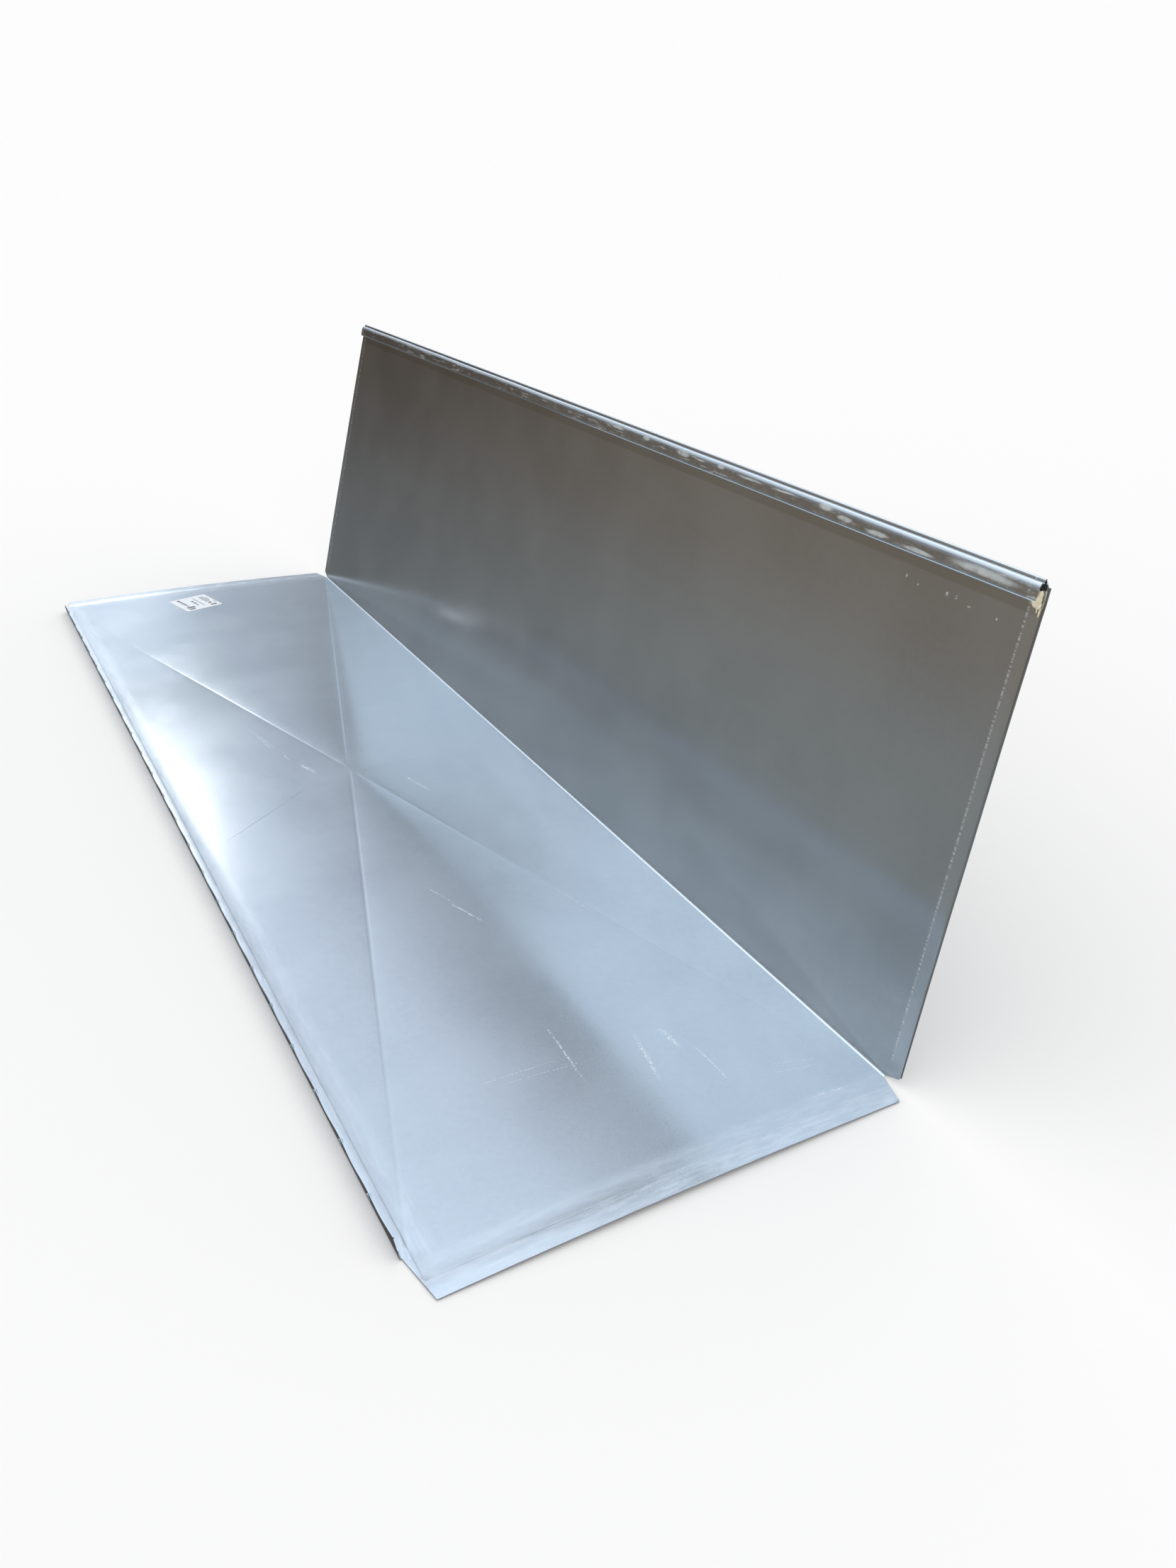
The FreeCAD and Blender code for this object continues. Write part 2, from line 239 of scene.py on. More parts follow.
def spread(low, high, step):
    """Evenly spaced numbers from low to high, about step apart."""
    count = max(1, round((high - low) / step))
    return [low + (high - low) * index / count for index in range(count + 1)]


def wave(x, y, scale, seed):
    """Smooth noise from -1 to 1 whose features are about scale across."""
    return noise.noise(Vector((x / scale, y / scale, seed * 7.31)))


# ---------------------------------------------------------------- shape of the sheet


def floor_rise(x, y):
    """Height of the cross-broken floor above its flat edges: side facets flat, end facets arched."""
    along = abs(x) / HALF
    middle = FLAT / 2
    across = abs(y - middle) / middle
    if across >= along:
        rise = CROWN * (1 - across)
    else:
        rise = CROWN * (1 - across * across / min(along, 1.0))
    edge = smooth(0, 60, min(y, FLAT - y))
    rise += edge * (0.12 * wave(x, y, 210, 1) + 0.03 * wave(x, y, 80, 2))
    rise += TONGUE_STEP * smooth(-0.7, 0.7, abs(x) - TONGUE_LINE)
    rise += ROLL_STEP * smooth(-0.6, 0.6, y - ROLL_LINE)
    crease = abs(across - along) * middle
    rise -= CREASE_DIP * edge * math.exp(-crease / CREASE_DIP_REACH) * smooth(0, 0.02, along)
    if along < 1:
        rise -= CREASE_BEAD * math.exp(-((crease / CREASE_BEAD_HALF) ** 2)) * smooth(0, 0.02, along)
    return max(rise, 0.0)


def floor_point(x, y):
    """A point of the floor's middle surface."""
    return x, y, floor_rise(x, y) - BEND


def wall_bow(x, v):
    """How far the wall bows inwards, with its soft ridge and its set under the lock."""
    free = smooth(0, 90, v) * smooth(365, 250, v)
    crest = RIDGE_NEAR_HEIGHT - RIDGE_FALL * (x - RIDGE_NEAR_END)
    ridge = RIDGE_RISE * math.exp(-(((v - crest) / RIDGE_HALF) ** 2)) * smooth(300, 100, x)
    kick = LOCK_KICK * smooth(341, 349, v) * smooth(360, 351, v)
    return free * (WALL_BOW + ridge + 0.4 * wave(x, v, 330, 5) + 0.08 * wave(x, v, 120, 6)) + kick


def wall_point(x, n, v):
    """A point n inwards from the fold's axis and v up the leaning wall."""
    return x, n * math.cos(LEAN) - v * math.sin(LEAN), n * math.sin(LEAN) + v * math.cos(LEAN)


def flange_point(x, t, rise):
    """A point t up the flange, pushed inwards by rise: it curls at the near end and sways at the buttons."""
    curl = smooth(-HALF + 52, -HALF + 14, x) * smooth(2, 11, t) * 0.9
    turn = math.tau * (x + HALF - BUTTON_START) / BUTTON_PITCH
    sway = (0.35 + 0.3 * math.cos(turn)) * smooth(3, 11, t)
    inward = rise + curl + sway
    out = BEND - inward
    y = FLAT + out * math.cos(FLANGE_LEAN) + t * math.sin(FLANGE_LEAN)
    z = t * math.cos(FLANGE_LEAN) - out * math.sin(FLANGE_LEAN)
    return x, y, z


class Blank:
    """Vertices and faces of the sheet's middle surface, with where each lay on the flat blank."""

    def __init__(self):
        self.points = []
        self.flat = []
        self.faces = []

    def add(self, point, flat):
        """Add a vertex and give its number."""
        self.points.append(to_row(*point))
        self.flat.append(flat)
        return len(self.points) - 1

    def grid(self, rows):
        """Quads between neighbouring rows of equally many (point, flat) pairs."""
        indices = [[self.add(*vertex) for vertex in row] for row in rows]
        for lower, upper in zip(indices, indices[1:]):
            for a, b, c, d in zip(lower, lower[1:], upper[1:], upper):
                self.faces.append((a, b, c, d))

    def mesh(self, name):
        """The joined mesh, with each vertex's place on the blank in metres as an attribute."""
        mesh = bpy.data.meshes.new(name)
        mesh.from_pydata(self.points, [], self.faces)
        layer = mesh.attributes.new("blank", "FLOAT_VECTOR", "POINT")
        layer.data.foreach_set("vector", [value / 1000 for flat in self.flat for value in (*flat, 0.0)])
        work = bmesh.new()
        work.from_mesh(mesh)
        bmesh.ops.remove_doubles(work, verts=work.verts, dist=0.00002)
        bmesh.ops.recalc_face_normals(work, faces=work.faces)
        work.to_mesh(mesh)
        work.free()
        return mesh


INNER_COLUMNS = spread(-600, 600, 6)


def columns(half):
    """The X of each column of a row that is half long each way."""
    outer = [600 + (half - 600) * share for share in (0.35, 0.7, 1.0)]
    return [-x for x in reversed(outer)] + INNER_COLUMNS + outer


BEND_ANGLE = math.pi / 2 - LEAN
BEND_LENGTH = BEND * BEND_ANGLE
# Blank length from the floor's edge to the lock's inner leaf, less the leaf's own height
LOCK_LEAF = (
    BEND_LENGTH + 2 * WALL_TOP - 2 * POCKET_FLOOR + math.pi * (FOLD_RADIUS + POCKET_RADIUS)
)


def wall_section():
    """The (n, v) path from the wall's foot, over its top and round the pocket to the lip's end."""
    path = [(-BEND, v) for v in (0, 2.2, NOTCH_RISE, HEM_LOW, 9)]
    path += [(-BEND, v) for v in spread(16, 340, 9)]
    path += [(-BEND, v) for v in (345, 349, 353, 357, HEM_HIGH, 363.2, WALL_TOP)]
    steps = [math.pi * step / 8 for step in range(1, 9)]
    top_n = (LEAF_TWO - BEND) / 2
    path += [(top_n - FOLD_RADIUS * math.cos(a), WALL_TOP + FOLD_RADIUS * math.sin(a)) for a in steps]
    path += [(LEAF_TWO, v) for v in (362, 358, 354.5, POCKET_FLOOR)]
    pocket_n = (LEAF_TWO + LEAF_THREE) / 2
    path += [
        (pocket_n - POCKET_RADIUS * math.cos(a), POCKET_FLOOR - POCKET_RADIUS * math.sin(a)) for a in steps
    ]
    path += [(LEAF_THREE, v) for v in (353.5, 355.6, 357.8, 360.2, LIP_TOP)]
    lip_n = (LEAF_THREE + LIP_LEAF) / 2
    path += [(lip_n + FOLD_RADIUS * math.cos(a), LIP_TOP + FOLD_RADIUS * math.sin(a)) for a in steps]
    path += [(LIP_LEAF, v) for v in (361, LIP_END)]
    return path


def wall_half_length(index, v, foot_rows):
    """How far the wall reaches each way at a row."""
    if index < foot_rows:
        if v <= NOTCH_RISE:
            return HALF + (HEM_X - HALF) * v / NOTCH_RISE
        if v <= HEM_HIGH:
            return HEM_X
        return HEM_X + (LOCK_HALF - HEM_X) * (v - HEM_HIGH) / (WALL_TOP - HEM_HIGH)
    return LOCK_HALF


def lock_shape(x, n, v):
    """The place of a pocket point, with the small unevenness of the pinched leaves."""
    inward = smooth(LEAF_TWO, LEAF_THREE, n)
    drop = smooth(356, 363, v) * inward * 0.35 * (1 + wave(x, 0, 90, 8))
    lean = inward * (0.25 * wave(x, v, 160, 9) + 0.1 * wave(x, v, 40, 10))
    if n > 1 and v > 358:
        lean -= 0.8 * ((v - 358) / 4.9) ** 2
    return n + lean, v - drop


def add_wall(blank):
    """Fold, wall, pocket lock and the drive hems."""
    bend_rows = []
    for step in range(7):
        angle = BEND_ANGLE * step / 6
        row = []
        for x in columns(HALF):
            point = (x, -BEND * math.sin(angle), -BEND * math.cos(angle))
            row.append((point, (x, -BEND * angle)))
        bend_rows.append(row)
    blank.grid(bend_rows)
    path = wall_section()
    foot_rows = path.index((-BEND, WALL_TOP)) + 1
    length = 0.0
    rows = []
    hem_rows = []
    for index, (n, v) in enumerate(path):
        if index:
            length += math.dist(path[index - 1], (n, v))
        half = wall_half_length(index, v, foot_rows)
        row = []
        for x in columns(half):
            if index < foot_rows:
                bowed = (n + wall_bow(x, v), v)
            else:
                bowed = lock_shape(x, n, v)
            row.append((wall_point(x, *bowed), (x, -BEND_LENGTH - length)))
        rows.append(row)
        if index < foot_rows and HEM_LOW <= v <= HEM_HIGH:
            hem_rows.append((n, v, length))
    blank.grid(rows)
    for side in (-1, 1):
        hem = []
        for n, v, length in hem_rows:
            n += wall_bow(side * HEM_X, v)
            row = [(wall_point(side * HEM_X, n, v), (side * HEM_X, -BEND_LENGTH - length))]
            for step in range(1, 9):
                a = math.pi * step / 8
                point = wall_point(
                    side * (HEM_X + HEM_RADIUS * math.sin(a)), n - HEM_RADIUS * (1 - math.cos(a)), v
                )
                row.append((point, (side * (HEM_X + HEM_RADIUS * a), -BEND_LENGTH - length)))
            for reach in (3, 6, 9, HEM_RETURN):
                back = n - 2 * HEM_RADIUS + 0.25 * reach / HEM_RETURN
                flat_x = side * (HEM_X + HEM_RADIUS * math.pi + reach)
                row.append((wall_point(side * (HEM_X - reach), back, v), (flat_x, -BEND_LENGTH - length)))
            hem.append(row)
        blank.grid(hem)


FLANGE_ANGLE = math.pi / 2 - FLANGE_LEAN
FLANGE_HALF = HALF - FLANGE_SETBACK


def flange_columns():
    """X of the flange's columns: close together across each button."""
    marks = set()
    for index in range(BUTTON_COUNT):
        centre = -HALF + BUTTON_START + BUTTON_PITCH * index
        marks.update(round(centre + BUTTON_RADIUS * k / 6, 4) for k in range(-8, 9))
        for k in (-19, -13, -8, 8, 13, 19, 25.4):
            marks.add(round(centre + k, 4))
    first = -HALF + BUTTON_START
    marks.update(spread(-FLANGE_HALF, first - 19, 4))
    last = first + BUTTON_PITCH * (BUTTON_COUNT - 1)
    marks.update(spread(last + BUTTON_PITCH / 2, FLANGE_HALF, 5))
    marks = sorted(x for x in marks if -FLANGE_HALF <= x <= FLANGE_HALF)
    kept = [marks[0]]
    for x in marks[1:]:
        if x - kept[-1] > 0.3:
            kept.append(x)
    kept[-1] = FLANGE_HALF
    return kept


FLANGE_COLUMNS = flange_columns()


def button_rise(x, t):
    """How far a button's half dome stands inwards at a point above its cut edge."""
    index = round((x + HALF - BUTTON_START) / BUTTON_PITCH)
    centre = -HALF + BUTTON_START + BUTTON_PITCH * min(max(index, 0), BUTTON_COUNT - 1)
    reach = math.hypot(x - centre, t - BUTTON_LEVEL) / BUTTON_RADIUS
    return BUTTON_RISE * (1 - smooth(0.3, 1.0, reach)) if reach < 1 else 0.0


def add_flange(blank):
    """The flange's bend, its plain foot, and the buttoned leaf above the cut edges."""
    rows = []
    for step in range(7):
        angle = FLANGE_ANGLE * step / 6
        row = []
        for x in FLANGE_COLUMNS:
            point = (x, FLAT + BEND * math.sin(angle), -BEND * math.cos(angle))
            row.append((point, (x, FLAT + BEND * angle)))
        rows.append(row)
    foot = FLAT + BEND * FLANGE_ANGLE

    def leaf_row(t, cut):
        """A row t up the flange, drawn in at its clipped ends; cut rows carry the buttons."""
        stretch = 1 - FLANGE_CLIP / FLANGE_HALF * smooth(FLANGE_HEIGHT - FLANGE_CLIP, FLANGE_HEIGHT, t)
        cells = []
        for x in FLANGE_COLUMNS:
            end = smooth(FLANGE_HALF - 30, FLANGE_HALF, abs(x))
            px = x * (1 - end + end * stretch)
            rise = button_rise(x, t) if cut else 0.0
            cells.append((flange_point(px, t, rise), (px, foot + t)))
        return cells

    blank.grid(rows)
    blank.grid([leaf_row(t, False) for t in (0, 1.5, 3.2, BUTTON_LEVEL)])
    levels = [BUTTON_LEVEL + 0.55 * step for step in range(9)] + [9.6, 10.4, FLANGE_HEIGHT]
    blank.grid([leaf_row(t, True) for t in levels])


def add_floor(blank):
    """The floor panel, triangulated with its creases and pressed lines as edges."""
    outline = [(x, 0.0) for x in columns(HALF)]
    outline += [(HALF + TONGUE * share, TONGUE_FOLD_INSET * share) for share in (0.3, 0.6)]
    tongue_ys = spread(TONGUE_FOLD_INSET, FLAT - TONGUE_EDGE_INSET, 6)
    outline += [(HALF + TONGUE, y) for y in tongue_ys]
    slant = HALF + TONGUE - FLANGE_HALF
    outline += [
        (HALF + TONGUE - slant * share, FLAT - TONGUE_EDGE_INSET * (1 - share)) for share in (0.25, 0.5, 0.75)
    ]
    outline += [(x, FLAT) for x in reversed(FLANGE_COLUMNS)]
    outline += [
        (-FLANGE_HALF - slant * share, FLAT - TONGUE_EDGE_INSET * share) for share in (0.25, 0.5, 0.75)
    ]
    outline += [(-HALF - TONGUE, y) for y in reversed(tongue_ys)]
    outline += [(-HALF - TONGUE * share, TONGUE_FOLD_INSET * share) for share in (0.6, 0.3)]
    points = [Vector(point) for point in outline]
    loop = list(range(len(points)))
    edges = []

    def chain(path):
        """Add a path whose steps stay edges of the mesh."""
        first = len(points)
        points.extend(Vector(point) for point in path)
        edges.extend((k, k + 1) for k in range(first, len(points) - 1))

    middle = FLAT / 2
    slope = Vector((HALF, middle)).normalized()
    for turn in (-1, 1):
        for offset in (-2.6, -1.3, 0.0, 1.3, 2.6):
            start = Vector((-HALF + 9, middle - turn * (middle - 9 * middle / HALF)))
            side = Vector((-slope.y * turn, slope.x)) * offset
            path = []
            for share in spread(0, 1, 1 / 150):
                at = Vector((start.x * (1 - 2 * share), middle + (start.y - middle) * (1 - 2 * share)))
                path.append(at + side)
            chain(path)
    for x in (TONGUE_LINE - 0.8, TONGUE_LINE, TONGUE_LINE + 0.8):
        for side in (-1, 1):
            chain([(side * x, y) for y in spread(6, FLAT - 6, 6)])
    for y in (ROLL_LINE - 0.7, ROLL_LINE, ROLL_LINE + 0.7):
        chain([(x, y) for x in spread(-HALF - 4, HALF + 4, 6)])
    for x in spread(-HALF - 18, HALF + 18, 9):
        for y in spread(8, FLAT - 8, 9):
            crease = abs(abs(y - middle) / middle - abs(x) / HALF) * middle
            lines = min(abs(abs(x) - TONGUE_LINE), abs(y - ROLL_LINE))
            if crease > 6 and lines > 3.5:
                points.append(Vector((x, y)))
    for share in spread(0.02, 0.98, 1 / 120):
        points.append(Vector((-HALF + 2 * HALF * share, 3.5)))
    result = delaunay_2d_cdt(points, edges, [loop], 1, 0.001)
    first = len(blank.points)
    for x, y in result[0]:
        blank.add(floor_point(x, y), (x, y))
    blank.faces.extend(tuple(first + k for k in face) for face in result[2])


def finished(mesh, name, material, angle=35):
    """An object of the mesh that rides on the part, with its edges sharp past an angle."""
    obj = bpy.data.objects.new(name, mesh)
    bpy.context.scene.collection.objects.link(obj)
    mesh.materials.append(material)
    mesh.shade_smooth()
    mesh.set_sharp_from_angle(angle=math.radians(angle))
    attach(obj, "root")
    return obj


def thickened(mesh, thickness):
    """The mesh with its sheet thickness."""
    obj = bpy.data.objects.new("thickening", mesh)
    bpy.context.scene.collection.objects.link(obj)
    modifier = obj.modifiers.new("Solidify", "SOLIDIFY")
    modifier.thickness = thickness / 1000
    modifier.offset = 0
    modifier.use_even_offset = True
    evaluated = obj.evaluated_get(bpy.context.evaluated_depsgraph_get())
    solid = bpy.data.meshes.new_from_object(evaluated)
    bpy.data.objects.remove(obj)
    return solid


# ---------------------------------------------------------------- materials


class Nodes:
    """Short calls for building a node tree."""

    def __init__(self, tree):
        self.tree = tree

    def node(self, kind, inputs=(), **settings):
        """A node with its settings made and its inputs linked or set."""
        made = self.tree.nodes.new(kind)
        for name, value in settings.items():
            setattr(made, name, value)
        for key, value in dict(inputs).items():
            if isinstance(value, bpy.types.NodeSocket):
                self.tree.links.new(value, made.inputs[key])
            else:
                made.inputs[key].default_value = value
        return made

    def math(self, operation, *values):
        """A math node's result."""
        return self.node("ShaderNodeMath", enumerate(values), operation=operation).outputs[0]

    def times(self, first, second):
        """The product of two values."""
        return self.math("MULTIPLY", first, second)

    def plus(self, first, second):
        """The sum of two values."""
        return self.math("ADD", first, second)

    def vector(self, operation, *values, output="Vector"):
        """A vector math node's result."""
        return self.node("ShaderNodeVectorMath", enumerate(values), operation=operation).outputs[output]

    def noise(self, vector, scale, detail=3.0, roughness=0.5, output="Fac"):
        """Smooth noise at a number of features to the metre."""
        made = self.node(
            "ShaderNodeTexNoise",
            {"Vector": vector, "Scale": scale, "Detail": detail, "Roughness": roughness},
        )
        return made.outputs[output]

    def ramp(self, value, low, high, to_low=0.0, to_high=1.0):
        """Smooth step of a value from one range to another."""
        made = self.node(
            "ShaderNodeMapRange",
            {"Value": value, "From Min": low, "From Max": high, "To Min": to_low, "To Max": to_high},
            interpolation_type="SMOOTHSTEP",
        )
        return made.outputs["Result"]

    def stroke(self, place, start, end, width):
        """One inside a soft line on the blank, thinning out at its ends."""
        start, end = (Vector((*point, 0)) / 1000 for point in (start, end))
        way = (end - start).normalized()
        half = (end - start).length / 2
        offset = self.vector("SUBTRACT", place, (start + end) / 2)
        mask = 1.0
        for axis, reach in ((way, half), (Vector((-way.y, way.x, 0)), width / 2000)):
            apart = self.math("ABSOLUTE", self.vector("DOT_PRODUCT", offset, axis, output="Value"))
            mask = self.times(mask, self.ramp(apart, reach, reach * 0.3))
        return mask

    def patch(self, place, centre, radii, soft):
        """One inside a soft oval on the blank."""
        middle = Vector((*centre, 0)) / 1000
        stretch = Vector((1000 / radii[0], 1000 / radii[1], 0))
        scaled = self.vector("MULTIPLY", self.vector("SUBTRACT", place, middle), stretch)
        return self.ramp(self.vector("LENGTH", scaled, output="Value"), 1.0, soft)

    def most(self, masks):
        """The strongest of several masks."""
        strongest = 0.0
        for mask in masks:
            strongest = self.math("MAXIMUM", strongest, mask)
        return strongest

    def between(self, value, low, high, soft):
        """One between two places on the blank, fading over soft millimetres outside them."""
        rise = self.ramp(value, (low - soft) / 1000, low / 1000)
        return self.times(rise, self.ramp(value, (high + soft) / 1000, high / 1000))

    def stretched(self, place, x, y):
        """The place scaled unevenly, so that noise runs long along one axis."""
        return self.vector("MULTIPLY", place, (x, y, 1))

    def mix(self, factor, first, second):
        """The first colour turned into the second by a factor."""
        made = self.node("ShaderNodeMix", data_type="RGBA")
        for socket, value in ((made.inputs[0], factor), (made.inputs[6], first), (made.inputs[7], second)):
            if isinstance(value, bpy.types.NodeSocket):
                self.tree.links.new(value, socket)
            else:
                socket.default_value = value if isinstance(value, float) else (*value, 1.0)
        return made.outputs[2]


def new_material(name):
    """A material, its node helper and its one shader."""
    material = bpy.data.materials.new(name)
    material.use_nodes = True
    material.node_tree.nodes.clear()
    nodes = Nodes(material.node_tree)
    shader = nodes.node("ShaderNodeBsdfPrincipled")
    output = nodes.node("ShaderNodeOutputMaterial")
    material.node_tree.links.new(shader.outputs[0], output.inputs[0])
    return material, nodes, shader


def zinc_skin(nodes, blank):
    """Colour, roughness and relief of the bare zinc: fine grain, faint spangle and broad clouds."""
    grain = nodes.noise(blank, 900.0, 2.0, 0.6)
    spangle = nodes.node("ShaderNodeTexVoronoi", {"Vector": blank, "Scale": 260.0}, feature="F1")
    cell = nodes.times(spangle.outputs["Color"], 1.0)
    cloud = nodes.noise(blank, 9.0, 3.0, 0.5)
    colour = nodes.mix(nodes.ramp(cloud, 0.35, 0.65), (0.61, 0.625, 0.64), (0.65, 0.665, 0.68))
    colour = nodes.mix(nodes.times(nodes.ramp(cell, 0.0, 1.0), 0.10), colour, (0.78, 0.80, 0.82))
    colour = nodes.mix(nodes.times(nodes.ramp(grain, 0.55, 0.75), 0.25), colour, (0.82, 0.84, 0.86))
    rough = nodes.plus(nodes.ramp(cloud, 0.3, 0.7, 0.13, 0.17), nodes.ramp(grain, 0.3, 0.7, -0.02, 0.04))
    relief = nodes.plus(nodes.times(grain, 0.6), nodes.times(cell, 0.4))
    return colour, rough, relief


def rubbed_strips(nodes, blank, across, from_middle):
    """Frosted strips on the tongues and along the flange, where rollers and brake held the sheet."""
    on_floor = nodes.ramp(across, 0.0, 0.004)
    ends = nodes.most((
        nodes.between(from_middle, TONGUE_LINE - 1, PAST_END, 1.5),
        nodes.times(nodes.between(from_middle, TONGUE_LINE - 11, PAST_END, 9), 0.55),
    ))
    side = nodes.most((
        nodes.between(across, ROLL_LINE + 1, FLANGE_FOOT, 1.5),
        nodes.times(nodes.between(across, ROLL_LINE - 8, FLANGE_FOOT, 12), 0.6),
    ))
    torn_end = nodes.ramp(nodes.noise(nodes.stretched(blank, 300, 45), 1.0, 4.0, 0.6), 0.3, 0.72)
    torn_side = nodes.ramp(nodes.noise(nodes.stretched(blank, 45, 300), 1.0, 4.0, 0.6), 0.3, 0.7)
    return nodes.most((
        nodes.times(nodes.times(ends, on_floor), nodes.plus(0.3, nodes.times(torn_end, 0.7))),
        nodes.times(nodes.times(side, on_floor), nodes.plus(0.2, nodes.times(torn_side, 0.7))),
    ))


def painted_rim_highlights(nodes, across):
    """The outer curves of the fold, the wall's top and the lip: a painted highlight, their colour made near
    white to stand in for the sky mirrored in them.
    """
    top = BEND_LENGTH + WALL_TOP
    lip = LOCK_LEAF + LIP_TOP
    return nodes.most((
        nodes.between(across, -2.1, 0.1, 0.7),
        nodes.between(across, -(top + 1.9), -(top - 0.3), 0.4),
        nodes.between(across, -(lip + 1.9), -(lip - 1.8), 0.6),
    ))


def wobbled(nodes, blank):
    """The place on the blank shifted a little, so that marks drawn with it run unevenly."""
    shift = nodes.vector("SUBTRACT", nodes.noise(blank, 55.0, output="Color"), (0.5, 0.5, 0.5))
    shift = nodes.node("ShaderNodeVectorMath", {0: shift, "Scale": 0.003}, operation="SCALE").outputs[0]
    return nodes.vector("ADD", blank, shift)


def scratches(nodes, blank, bent, across, from_middle, mottle):
    """Pale marks where the bright skin is broken, and the dark ones."""
    broken = nodes.ramp(nodes.noise(blank, 520.0, 3.0, 0.7), 0.42, 0.58)
    worn = nodes.ramp(nodes.noise(nodes.stretched(blank, 260, 900), 1.0, 3.0, 0.7), 0.38, 0.52)
    strokes = nodes.most(nodes.stroke(bent, *mark) for mark in PALE_SCRATCHES)
    specks = nodes.ramp(nodes.noise(blank, 330.0, 2.0, 0.5), 0.74, 0.78)
    specks = nodes.times(specks, nodes.ramp(mottle, 0.4, 0.6))
    streaks = nodes.noise(nodes.stretched(blank, 30, 600), 1.0, 3.0, 0.6)
    scuff = nodes.between(from_middle, HEM_X - 11, HEM_X - 9.8, 0.6)
    scuff = nodes.times(scuff, nodes.ramp(across, -0.012, -0.02))
    scuff = nodes.times(scuff, nodes.ramp(streaks, 0.4, 0.6))
    dabs = nodes.most(nodes.patch(bent, (x, -BEND_LENGTH - v), radii, 0.3) for (x, v), radii in WALL_DABS)
    pale = nodes.most((
        nodes.times(strokes, nodes.times(broken, worn)),
        nodes.times(specks, 0.35),
        nodes.times(scuff, 0.55),
        nodes.times(dabs, broken),
    ))
    dark = nodes.most(nodes.stroke(blank, *mark) for mark in DARK_SCRATCHES)
    return pale, dark


def lock_smears(nodes, blank, bent, across, mottle):
    """Sealant rubbed along the lock's inner leaf, and the grime around it."""
    leaf = nodes.between(across, -(LOCK_LEAF + LIP_TOP - 2.2), -(LOCK_LEAF + POCKET_FLOOR), 0.8)
    placed = nodes.most(nodes.patch(bent, (x, -LOCK_LEAF - v), radii, 0.35) for (x, v), radii in LOCK_SMEARS)
    rubbed = nodes.ramp(nodes.noise(nodes.stretched(blank, 45, 330), 1.0, 5.0, 0.7), 0.52, 0.66)
    smears = nodes.most((
        nodes.times(placed, nodes.ramp(mottle, 0.25, 0.6, 0.35, 1.0)),
        nodes.times(rubbed, nodes.ramp(nodes.noise(blank, 14.0), 0.4, 0.55, 0.1, 0.55)),
    ))
    grime = nodes.times(leaf, nodes.ramp(mottle, 0.35, 0.6, 0.0, 0.3))
    return nodes.times(smears, leaf), grime


def galvanised():
    """Dull bright zinc: the bare coat, with its rubbed strips, smears and scratches over it, a painted
    highlight on the rims and a painted shade strip under the lock.
    """
    material, nodes, shader = new_material("galvanised")
    link = nodes.tree.links.new
    blank = nodes.node("ShaderNodeAttribute", attribute_name="blank").outputs["Vector"]
    place = nodes.node("ShaderNodeSeparateXYZ", {0: blank})
    across = place.outputs[1]
    from_middle = nodes.math("ABSOLUTE", place.outputs[0])
    bent = wobbled(nodes, blank)
    mottle = nodes.noise(blank, 130.0, 4.0, 0.65)

    colour, rough, relief = zinc_skin(nodes, blank)
    frost = rubbed_strips(nodes, blank, across, from_middle)
    # painted highlight: the rims' colour turned near white so that their curves shine like the mirrored sky
    rim_highlight = painted_rim_highlights(nodes, across)
    # painted shade: a dark olive strip on the wall just under the lock, standing in for the lock's shadow and
    # its reflection in the wall
    painted_lock_shade = nodes.between(across, -(BEND_LENGTH + 351), -(BEND_LENGTH + 343), 2.0)
    hem_print = nodes.between(from_middle, HEM_X - 9.5, PAST_END, 1.0)
    hem_print = nodes.times(hem_print, nodes.ramp(across, -0.01, -0.02))
    smears, grime = lock_smears(nodes, blank, bent, across, mottle)
    pale, dark = scratches(nodes, blank, bent, across, from_middle, mottle)

    for mask, share, tint in (
        (frost, 0.6, (0.90, 0.92, 0.94)),
        # painted highlight along the rims
        (rim_highlight, 1.0, (0.97, 0.98, 1.0)),
        # painted shade under the lock
        (painted_lock_shade, 0.42, (0.44, 0.43, 0.34)),
        (hem_print, 0.3, (0.92, 0.94, 0.95)),
        (grime, 1.0, (0.36, 0.35, 0.34)),
        (smears, 0.85, (0.50, 0.54, 0.53)),
        (pale, 0.8, (0.93, 0.95, 0.97)),
        (dark, 0.8, (0.22, 0.23, 0.24)),
    ):
        colour = nodes.mix(nodes.times(mask, share), colour, tint)
    for mask, share in ((frost, 0.12), (rim_highlight, 0.12), (nodes.most((pale, smears)), 0.25)):
        rough = nodes.plus(rough, nodes.times(mask, share))
    dull = nodes.most((nodes.times(smears, 0.8), nodes.times(pale, 0.35), nodes.times(frost, 0.12)))
    relief = nodes.plus(relief, nodes.times(nodes.math("SUBTRACT", smears, pale), 1.5))
    bump = nodes.node("ShaderNodeBump", {"Strength": 0.035, "Distance": 0.0003, "Height": relief})

    link(colour, shader.inputs["Base Color"])
    link(rough, shader.inputs["Roughness"])
    link(nodes.math("SUBTRACT", 1.0, dull), shader.inputs["Metallic"])
    link(bump.outputs[0], shader.inputs["Normal"])
    return material


def sealant_material():
    """Cream sealant, satin and a little dusty."""
    material, nodes, shader = new_material("sealant")
    link = nodes.tree.links.new
    place = nodes.node("ShaderNodeTexCoord").outputs["Object"]
    cloud = nodes.noise(place, 160.0, 3.0)
    colour = nodes.mix(nodes.ramp(cloud, 0.35, 0.7), (0.62, 0.55, 0.38), (0.80, 0.76, 0.62))
    link(colour, shader.inputs["Base Color"])
    link(nodes.ramp(cloud, 0.3, 0.7, 0.25, 0.5), shader.inputs["Roughness"])
    bump = nodes.node("ShaderNodeBump", {"Strength": 0.3, "Distance": 0.0004, "Height": cloud})
    link(bump.outputs[0], shader.inputs["Normal"])
    return material


